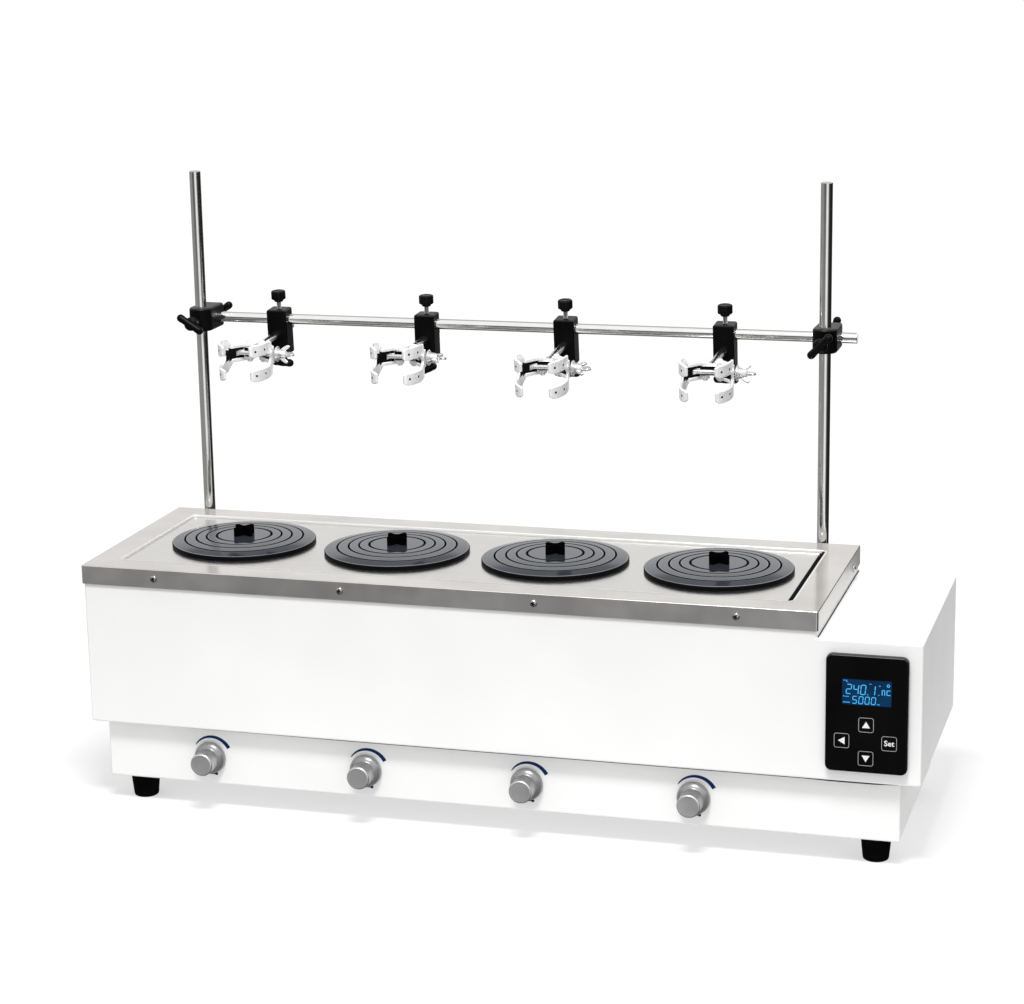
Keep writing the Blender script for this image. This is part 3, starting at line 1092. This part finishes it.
# ---------------------------------------------------------------- CAD nodes kept, with their finishes
KEPT = {"cover_plate": STEEL, "water_tank": TANK, "heater_and_probe": TANK, "stirrer_motors": MOTOR, "speed_pots": BOARD,
        "control_board": BOARD, "power_inlet": PLASTIC, "display_lens": GLASS,
        "up_button": PANEL, "down_button": PANEL, "shift_button": PANEL, "set_button": PANEL}
for k in range(1, 5):
    KEPT[f"drive_magnet_{k}"] = MOTOR
for node, mat in KEPT.items():
    ob = frame["nodes"][node]
    if not ob.material_slots:
        ob.data.materials.append(mat)
    for s in ob.material_slots:
        s.material = mat

casing()
seams()
base()
feet()
collar()
screws()
seal()
panel()
display()
key_marks()
stand()
bosses()
inlet_pins()
for i in range(4):
    rings(i)
    lid(i)
    knob(i)
    scale_mark(i)
    holder(i)
    lock_knob(i)
    arm(i)
    jaws(i)


# ---------------------------------------------------------------- studio
def floor():
    """A plain pale light table, a little larger than the object; past its edges the white room is seen."""
    bm = bmesh.new()
    n, x0, x1, y0, y1 = 8, -0.72, 0.72, -0.44, 0.62
    vs = [[bm.verts.new((x0 + (x1 - x0) * a / n, y0 + (y1 - y0) * b / n, 0.0)) for a in range(n + 1)] for b in range(n + 1)]
    for a in range(n):
        for b in range(n):
            bm.faces.new((vs[b][a], vs[b][a + 1], vs[b + 1][a + 1], vs[b + 1][a]))
    me = bpy.data.meshes.new("studio_floor")
    bm.to_mesh(me)
    bm.free()
    ob = bpy.data.objects.new("studio_floor", me)
    scene.collection.objects.link(ob)
    m, nt, b = shader("studio_floor")
    f = noise(nt, coords(nt), 3.0, 2.0)
    nt.links.new(blend(nt, f, (0.41, 0.41, 0.41), (0.42, 0.42, 0.42)), b.inputs["Base Color"])
    b.inputs["Emission Color"].default_value = (1, 1, 1, 1)
    b.inputs["Emission Strength"].default_value = 0.48
    nt.links.new(span(nt, f, 0.75, 0.85), b.inputs["Roughness"])
    b.inputs["Specular IOR Level"].default_value = 0.0
    me.materials.append(m)
    ob.visible_glossy = False


floor()


def softbox(name, loc, target, w, h, power):
    d = bpy.data.lights.new(name, "AREA")
    d.shape = "RECTANGLE"
    d.size, d.size_y, d.energy = w, h, power
    ob = bpy.data.objects.new(name, d)
    ob.location = loc
    v = Vector(target) - Vector(loc)
    ob.rotation_euler = v.to_track_quat("-Z", "Y").to_euler()
    scene.collection.objects.link(ob)
    return ob


softbox("key_soft", (0.24, -1.15, 2.40), (0.0, 0.0, 0.15), 0.72, 0.42, 52)


def ramp(nt, fac, stops, mode="LINEAR"):
    r = nt.nodes.new("ShaderNodeValToRGB")
    r.color_ramp.interpolation = mode
    els = r.color_ramp.elements
    els[0].position, els[1].position = stops[0][0], stops[-1][0]
    els[0].color = (stops[0][1],) * 3 + (1,)
    els[1].color = (stops[-1][1],) * 3 + (1,)
    for pos, v in stops[1:-1]:
        e = els.new(pos)
        e.color = (v, v, v, 1)
    nt.links.new(fac, r.inputs["Fac"])
    return r.outputs["Color"]


def world():
    """A white room seen round the compass: 0.5 is straight in front, 0.75 the right-hand side, 0 and 1 the back."""
    w = bpy.data.worlds.new("studio")
    scene.world = w
    w.use_nodes = True
    nt = w.node_tree
    bg = nt.nodes["Background"]
    out = nt.nodes["World Output"]
    tc = nt.nodes.new("ShaderNodeTexCoord")
    sep = nt.nodes.new("ShaderNodeSeparateXYZ")
    nt.links.new(tc.outputs["Generated"], sep.inputs[0])
    neg = nt.nodes.new("ShaderNodeMath")
    neg.operation = "MULTIPLY"
    neg.inputs[1].default_value = -1.0
    nt.links.new(sep.outputs["Y"], neg.inputs[0])
    at = nt.nodes.new("ShaderNodeMath")
    at.operation = "ARCTAN2"
    nt.links.new(sep.outputs["X"], at.inputs[0])
    nt.links.new(neg.outputs[0], at.inputs[1])
    turn = nt.nodes.new("ShaderNodeMapRange")
    turn.inputs["From Min"].default_value = -math.pi
    turn.inputs["From Max"].default_value = math.pi
    nt.links.new(at.outputs[0], turn.inputs["Value"])
    low = ramp(nt, turn.outputs["Result"], LOW_BAND)
    high = ramp(nt, turn.outputs["Result"], HIGH_BAND)
    rise = nt.nodes.new("ShaderNodeMapRange")
    rise.interpolation_type = "SMOOTHSTEP"
    rise.inputs["From Min"].default_value = 0.06
    rise.inputs["From Max"].default_value = 0.30
    nt.links.new(sep.outputs["Z"], rise.inputs["Value"])
    mix = nt.nodes.new("ShaderNodeMix")
    mix.data_type = "RGBA"
    nt.links.new(rise.outputs["Result"], mix.inputs["Factor"])
    nt.links.new(low, mix.inputs[6])
    nt.links.new(high, mix.inputs[7])
    # a dark gap low down in front, to the left of the camera
    tall = nt.nodes.new("ShaderNodeMapRange")
    tall.inputs["From Min"].default_value = -1.0
    tall.inputs["From Max"].default_value = 1.0
    nt.links.new(sep.outputs["Z"], tall.inputs["Value"])
    gap = nt.nodes.new("ShaderNodeMix")
    gap.data_type = "RGBA"
    gap.blend_type = "MULTIPLY"
    gap.inputs["Factor"].default_value = 1.0
    nt.links.new(ramp(nt, turn.outputs["Result"], [(0.0, 0.0), (0.37, 0.0), (0.41, 1.0), (0.49, 1.0), (0.515, 0.0), (1.0, 0.0)]), gap.inputs[6])
    nt.links.new(ramp(nt, tall.outputs["Result"], [(0.0, 0.0), (0.41, 0.0), (0.45, 1.0), (0.565, 1.0), (0.615, 0.0), (1.0, 0.0)]), gap.inputs[7])
    dim = nt.nodes.new("ShaderNodeMix")
    dim.data_type = "RGBA"
    nt.links.new(gap.outputs[2], dim.inputs["Factor"])
    nt.links.new(mix.outputs[2], dim.inputs[6])
    dim.inputs[7].default_value = (0.06, 0.06, 0.06, 1)
    deep = nt.nodes.new("ShaderNodeMix")
    deep.data_type = "RGBA"
    deep.blend_type = "MULTIPLY"
    deep.inputs["Factor"].default_value = 1.0
    nt.links.new(dim.outputs[2], deep.inputs[6])
    nt.links.new(ramp(nt, tall.outputs["Result"], [(0.0, 0.30), (0.24, 0.38), (0.30, 0.60), (0.365, 1.0), (1.0, 1.0)]), deep.inputs[7])
    lift = nt.nodes.new("ShaderNodeMix")
    lift.data_type = "RGBA"
    lift.blend_type = "MULTIPLY"
    lift.inputs["Factor"].default_value = 1.0
    nt.links.new(ramp(nt, turn.outputs["Result"], [(0.0, 1.0), (0.115, 1.0), (0.17, 0.0), (0.93, 0.0), (0.97, 1.0), (1.0, 1.0)]), lift.inputs[6])
    nt.links.new(ramp(nt, tall.outputs["Result"], [(0.0, 0.0), (0.70, 0.0), (0.735, 1.0), (0.955, 1.0), (0.975, 0.0), (1.0, 0.0)]), lift.inputs[7])
    shade = nt.nodes.new("ShaderNodeMix")
    shade.data_type = "RGBA"
    nt.links.new(lift.outputs[2], shade.inputs["Factor"])
    nt.links.new(deep.outputs[2], shade.inputs[6])
    shade.inputs[7].default_value = (0.48, 0.48, 0.48, 1)
    nt.links.new(shade.outputs[2], bg.inputs["Color"])
    bg.inputs["Strength"].default_value = ROOM
    white = nt.nodes.new("ShaderNodeBackground")
    white.inputs["Color"].default_value = (1, 1, 1, 1)
    white.inputs["Strength"].default_value = 1.05
    lp = nt.nodes.new("ShaderNodeLightPath")
    ms = nt.nodes.new("ShaderNodeMixShader")
    nt.links.new(lp.outputs["Is Camera Ray"], ms.inputs[0])
    nt.links.new(bg.outputs[0], ms.inputs[1])
    nt.links.new(white.outputs[0], ms.inputs[2])
    nt.links.new(ms.outputs[0], out.inputs["Surface"])


LOW_BAND = [(0.0, 0.85), (0.06, 0.80), (0.14, 0.40), (0.25, 0.35), (0.455, 0.36), (0.50, 0.40), (0.525, 1.15), (0.60, 1.15), (0.635, 0.30), (0.67, 0.05), (0.75, 0.02), (0.92, 0.02), (0.97, 0.70), (1.0, 0.85)]
HIGH_BAND = [(0.0, 1.0), (0.30, 1.0), (0.60, 1.0), (0.70, 1.32), (0.86, 1.32), (0.95, 1.1), (1.0, 1.0)]
ROOM = 0.95
world()
scene.view_settings.view_transform = "Standard"
scene.view_settings.look = "None"
scene.view_settings.exposure = 0.0

# ---------------------------------------------------------------- camera
az, el, roll = math.radians(16.49), math.radians(13.84), math.radians(-0.99)
target = Vector((42.1 + XS, 0.0 + YS, 305.24)) * 0.001
back = Vector((math.sin(az) * math.cos(el), -math.cos(az) * math.cos(el), math.sin(el)))
right = (-back).cross(Vector((0, 0, 1))).normalized()
up = right.cross(-back).normalized()
R = right * math.cos(roll) + up * math.sin(roll)
U = -right * math.sin(roll) + up * math.cos(roll)
cam_data = bpy.data.cameras.new("camera")
cam_data.sensor_fit = "HORIZONTAL"
cam_data.sensor_width = 36.0
cam_data.lens = 2631.32 / 1024.0 * 36.0
cam_data.clip_end = 50.0
cam = bpy.data.objects.new("camera", cam_data)
scene.collection.objects.link(cam)
loc = target + back * 2.60501
cam.matrix_world = Matrix(((R.x, U.x, back.x, loc.x), (R.y, U.y, back.y, loc.y), (R.z, U.z, back.z, loc.z), (0, 0, 0, 1)))
scene.camera = cam
